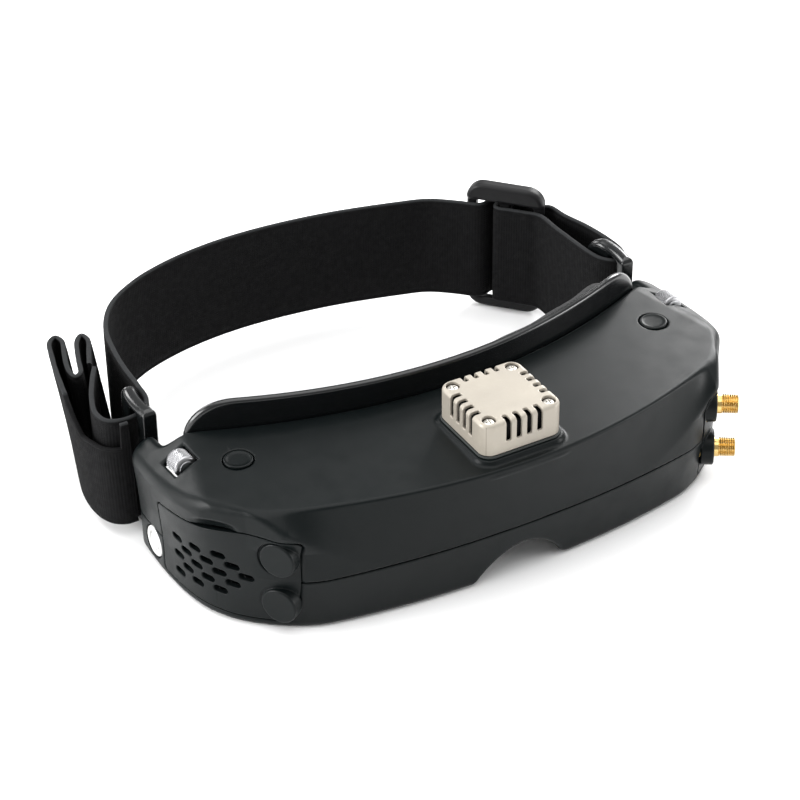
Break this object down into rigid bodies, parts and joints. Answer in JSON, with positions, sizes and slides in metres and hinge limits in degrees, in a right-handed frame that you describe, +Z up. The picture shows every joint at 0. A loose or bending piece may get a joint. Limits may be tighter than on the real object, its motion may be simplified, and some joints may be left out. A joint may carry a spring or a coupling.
{
  "type": "video goggles",
  "caption": "Head-worn video goggles with a curved two-part shell, glossy face flange, cooling fan on top, side antenna jacks and an elastic head strap with slider.",
  "frame": {"origin": "on the base plane under the middle of the whole object", "axes": "+Z up, -Y toward the front of the goggles (away from the face), +X toward the side with the antenna jacks"},
  "size_m": [0.1998, 0.1668, 0.0586],
  "materials": {
    "soft_touch_shell": "soft-touch charcoal plastic, fine grain, slight sheen",
    "gloss_black": "polished black plastic",
    "face_foam": "fabric covered foam, black",
    "champagne_metal": "satin champagne grey, fine bead-blast grain",
    "gasket_rubber": "matt black rubber",
    "black_plastic": "fine textured black plastic",
    "steel": "plain steel",
    "gold": "gold plated brass, turned thread",
    "insulator": "white PTFE",
    "circuit_board": "green solder mask",
    "lens_glass": "clear coated glass",
    "screen": "dark display glass",
    "white_plastic": "white moulded plastic",
    "silver": "knurled silver roller",
    "webbing": "woven elastic webbing, black with grey edge yarn"
  },
  "bodies": {
    "headset": {"upper_shell": "soft_touch_shell", "lower_shell": "soft_touch_shell", "receiver_panel": "soft_touch_shell", "upper_antenna_jack": "gold", "upper_jack_nut": "gold", "upper_jack_insulator": "insulator", "lower_antenna_jack": "gold", "lower_jack_nut": "gold", "lower_jack_insulator": "insulator", "receiver_board": "circuit_board", "faceplate": "gloss_black", "face_foam": "face_foam", "left_strap_arm": "gloss_black", "right_strap_arm": "gloss_black", "fan_cover": "champagne_metal", "fan_gasket": "gasket_rubber", "fan_frame": "black_plastic", "fan_screw_1": "steel", "fan_screw_2": "steel", "fan_screw_3": "steel", "fan_screw_4": "steel", "left_wheel_axle": "steel", "right_wheel_axle": "steel", "left_rail": "steel", "right_rail": "steel", "main_board": "circuit_board", "dc_jack": "black_plastic", "audio_jack": "black_plastic", "video_port": "steel", "shell_screw_1": "steel", "shell_screw_2": "steel", "shell_screw_3": "steel", "shell_screw_4": "steel", "strap_band": "webbing", "strap_tail": "webbing", "strap_slider": "black_plastic"},
    "fan_rotor_body": {"fan_rotor": "black_plastic"},
    "module_cover_body": {"module_cover": "soft_touch_shell"},
    "power_button_body": {"power_button": "white_plastic"},
    "left_button_body": {"left_button": "soft_touch_shell"},
    "left_wheel_body": {"left_wheel": "silver"},
    "left_optic": {"left_eye_carriage": "black_plastic", "left_display": "screen", "left_ipd_knob": "black_plastic"},
    "left_lens_body": {"left_lens": "lens_glass"},
    "left_focus_body": {"left_focus_ring": "black_plastic"},
    "right_button_body": {"right_button": "soft_touch_shell"},
    "right_wheel_body": {"right_wheel": "silver"},
    "right_optic": {"right_eye_carriage": "black_plastic", "right_display": "screen", "right_ipd_knob": "black_plastic"},
    "right_lens_body": {"right_lens": "lens_glass"},
    "right_focus_body": {"right_focus_ring": "black_plastic"}
  },
  "joints": [
    {"name": "fan_spin", "type": "hinge", "parent": "headset", "child": "fan_rotor_body", "pos_m": [0.00451, -0.06517, 0.052], "axis": [0, 0, 1], "continuous": true},
    {"name": "left_wheel_roll", "type": "hinge", "parent": "headset", "child": "left_wheel_body", "pos_m": [-0.08339, -0.02647, 0.0408], "axis": [0, 0.9948, -0.1015], "continuous": true},
    {"name": "left_button_press", "type": "slide", "parent": "headset", "child": "left_button_body", "axis": [0, 0, -1], "range_m": [0, 0.0006], "stiffness_N_per_m": 900},
    {"name": "right_wheel_roll", "type": "hinge", "parent": "headset", "child": "right_wheel_body", "pos_m": [0.09241, -0.02647, 0.0408], "axis": [0, 0.9948, -0.1015], "continuous": true},
    {"name": "right_button_press", "type": "slide", "parent": "headset", "child": "right_button_body", "axis": [0, 0, -1], "range_m": [0, 0.0006], "stiffness_N_per_m": 900},
    {"name": "power_button_press", "type": "slide", "parent": "headset", "child": "power_button_body", "axis": [1, 0, 0], "range_m": [0, 0.0006], "stiffness_N_per_m": 900},
    {"name": "module_cover_off", "type": "slide", "parent": "headset", "child": "module_cover_body", "axis": [-0.9135, -0.4067, 0], "range_m": [0, 0.02]},
    {"name": "left_ipd_slide", "type": "slide", "parent": "headset", "child": "left_optic", "axis": [1, 0, 0], "range_m": [-0.00325, 0.00325]},
    {"name": "left_focus_turn", "type": "hinge", "parent": "left_optic", "child": "left_focus_body", "pos_m": [-0.02749, -0.03948, 0.025], "axis": [0, 1, 0], "range_deg": [-63, 63]},
    {"name": "left_lens_slide", "type": "slide", "parent": "left_optic", "child": "left_lens_body", "axis": [0, 1, 0], "range_m": [-0.002, 0.002]},
    {"name": "right_ipd_slide", "type": "slide", "parent": "headset", "child": "right_optic", "axis": [1, 0, 0], "range_m": [-0.00325, 0.00325]},
    {"name": "right_focus_turn", "type": "hinge", "parent": "right_optic", "child": "right_focus_body", "pos_m": [0.03651, -0.03948, 0.025], "axis": [0, 1, 0], "range_deg": [-63, 63]},
    {"name": "right_lens_slide", "type": "slide", "parent": "right_optic", "child": "right_lens_body", "axis": [0, 1, 0], "range_m": [-0.002, 0.002]}
  ],
  "couplings": [
    {"joint": "left_focus_turn", "follows": "left_lens_slide", "rad_per_m": 523.6},
    {"joint": "right_focus_turn", "follows": "right_lens_slide", "rad_per_m": 523.6}
  ]
}
